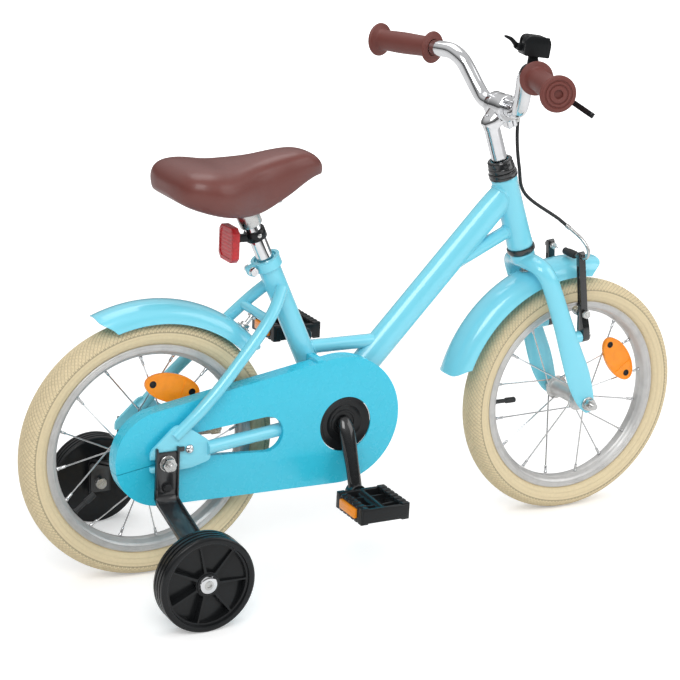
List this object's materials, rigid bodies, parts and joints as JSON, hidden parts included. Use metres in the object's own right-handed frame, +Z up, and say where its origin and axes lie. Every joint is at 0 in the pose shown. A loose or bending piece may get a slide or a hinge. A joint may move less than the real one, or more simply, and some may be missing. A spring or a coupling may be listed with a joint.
{
  "type": "kids bicycle",
  "caption": "Turquoise kids bike with a full chain case, cream tyres, fenders, a brown saddle and grips, and stabilisers.",
  "frame": {"origin": "on the ground, halfway between the two axles, in the plane of the frame", "axes": "+X forward, +Y to the rider's left, +Z up"},
  "size_m": [1.008, 0.4736, 0.7161],
  "materials": {
    "frame_paint": "glossy light turquoise enamel",
    "chain_guard": "satin turquoise moulding",
    "tyres": "cream rubber with a fine knurled tread",
    "rims": "satin silver",
    "bright_metal": "polished chrome",
    "steel": "zinc plated",
    "saddle_and_grips": "brown leatherette and brown rubber",
    "black_plastic": "black moulded plastic",
    "black_steel": "black enamel",
    "black_rubber": "matt",
    "amber_reflectors": "clear amber over a prism pattern",
    "rear_reflector": "clear red over a prism pattern"
  },
  "bodies": {
    "frame_body": {"frame": "frame_paint", "seat_collar": "frame_paint", "headset_upper_cup": "black_steel", "headset_lower_cup": "black_steel", "bracket_cup_left": "steel", "bracket_cup_right": "steel", "chain_guard": "chain_guard", "chain_guard_cap": "chain_guard", "chain": "steel", "rear_fender": "frame_paint", "rear_fender_bolt": "steel", "rear_axle": "steel", "stabiliser_bracket_left": "black_steel", "stabiliser_bracket_right": "black_steel", "coaster_arm": "steel", "coaster_clip": "steel"},
    "steering": {"fork": "frame_paint", "headset_top_nut": "black_steel", "stem": "bright_metal", "stem_bolt": "bright_metal", "handlebar": "bright_metal", "grip_left": "saddle_and_grips", "grip_right": "saddle_and_grips", "brake_lever_perch": "black_plastic", "bell_body": "black_plastic", "brake_cable": "black_rubber", "front_fender": "frame_paint", "front_fender_bolt": "steel", "front_axle": "steel"},
    "front_wheel": {"front_tyre": "tyres", "front_rim": "rims", "front_hub": "rims", "front_valve": "black_rubber", "front_reflector": "amber_reflectors"},
    "rear_wheel": {"rear_tyre": "tyres", "rear_rim": "rims", "rear_hub": "rims", "rear_valve": "black_rubber", "rear_wheel_reflector": "amber_reflectors"},
    "crank_set": {"crank": "black_steel", "chainring": "steel", "crank_disc": "black_plastic"},
    "rear_driver": {"rear_sprocket": "steel"},
    "pedal_left_body": {"pedal_left": "black_plastic"},
    "pedal_right_body": {"pedal_right": "black_plastic"},
    "stabiliser_left": {"stabiliser_wheel_left": "black_plastic"},
    "stabiliser_right": {"stabiliser_wheel_right": "black_plastic"},
    "brake_lever_body": {"brake_lever": "black_plastic"},
    "brake_arm_left_body": {"brake_arm_left": "black_steel", "brake_pad_left": "black_rubber"},
    "brake_arm_right_body": {"brake_arm_right": "black_steel", "brake_pad_right": "black_rubber", "brake_noodle": "steel"},
    "bell_lever_body": {"bell_lever": "black_plastic"},
    "seat_slide": {"seat_post": "bright_metal", "saddle_clamp": "steel", "saddle_base": "black_plastic", "saddle": "saddle_and_grips", "reflector_bracket": "black_plastic", "rear_reflector": "rear_reflector"}
  },
  "joints": [
    {"name": "steering_turn", "type": "hinge", "parent": "frame_body", "child": "steering", "pos_m": [0.2269, 0, 0.40348], "axis": [-0.342, 0, 0.9397], "range_deg": [-60, 60]},
    {"name": "front_wheel_spin", "type": "hinge", "parent": "steering", "child": "front_wheel", "pos_m": [0.33, 0, 0.174], "axis": [0, 1, 0], "continuous": true},
    {"name": "rear_wheel_spin", "type": "hinge", "parent": "frame_body", "child": "rear_wheel", "pos_m": [-0.33, 0, 0.174], "axis": [0, 1, 0], "continuous": true},
    {"name": "crank_spin", "type": "hinge", "parent": "frame_body", "child": "crank_set", "pos_m": [-0.06577, 0, 0.19], "axis": [0, 1, 0], "continuous": true, "deforming": ["chain"]},
    {"name": "rear_driver_spin", "type": "hinge", "parent": "frame_body", "child": "rear_driver", "pos_m": [-0.33, 0, 0.174], "axis": [0, 1, 0], "continuous": true},
    {"name": "pedal_left_spin", "type": "hinge", "parent": "crank_set", "child": "pedal_left_body", "pos_m": [-0.07198, 0.1255, 0.27878], "axis": [0, 1, 0], "continuous": true},
    {"name": "pedal_right_spin", "type": "hinge", "parent": "crank_set", "child": "pedal_right_body", "pos_m": [-0.05956, -0.1255, 0.10122], "axis": [0, 1, 0], "continuous": true},
    {"name": "stabiliser_left_spin", "type": "hinge", "parent": "frame_body", "child": "stabiliser_left", "pos_m": [-0.33, 0.19, 0.063], "axis": [0, 1, 0], "continuous": true},
    {"name": "stabiliser_right_spin", "type": "hinge", "parent": "frame_body", "child": "stabiliser_right", "pos_m": [-0.33, -0.19, 0.063], "axis": [0, 1, 0], "continuous": true},
    {"name": "brake_lever_pull", "type": "hinge", "parent": "steering", "child": "brake_lever_body", "pos_m": [0.16599, -0.13058, 0.65118], "axis": [-0.4644, 0.1741, -0.8683], "range_deg": [0, 16], "stiffness_Nm_per_rad": 0.12, "springref_deg": -11.46},
    {"name": "brake_arm_left_pull", "type": "hinge", "parent": "steering", "child": "brake_arm_left_body", "pos_m": [0.31798, 0.043, 0.27487], "axis": [0.9936, 0, 0.1132], "range_deg": [0, 2.2]},
    {"name": "brake_arm_right_pull", "type": "hinge", "parent": "steering", "child": "brake_arm_right_body", "pos_m": [0.31798, -0.043, 0.27487], "axis": [0.9936, 0, 0.1132], "range_deg": [-2.2, 0], "deforming": ["brake_cable"]},
    {"name": "bell_lever_push", "type": "hinge", "parent": "steering", "child": "bell_lever_body", "pos_m": [0.13694, -0.08779, 0.69917], "axis": [0.3091, 0.9505, -0.0309], "range_deg": [-22, 0], "stiffness_Nm_per_rad": 0.02, "springref_deg": 17.19},
    {"name": "seat_post_slide", "type": "slide", "parent": "frame_body", "child": "seat_slide", "axis": [-0.4226, 0, 0.9063], "range_m": [0, 0.06]}
  ],
  "couplings": [
    {"joint": "rear_driver_spin", "follows": "crank_spin", "ratio": 2},
    {"joint": "brake_arm_left_pull", "follows": "brake_lever_pull", "ratio": 0.1375},
    {"joint": "brake_arm_right_pull", "follows": "brake_lever_pull", "ratio": -0.1375}
  ]
}
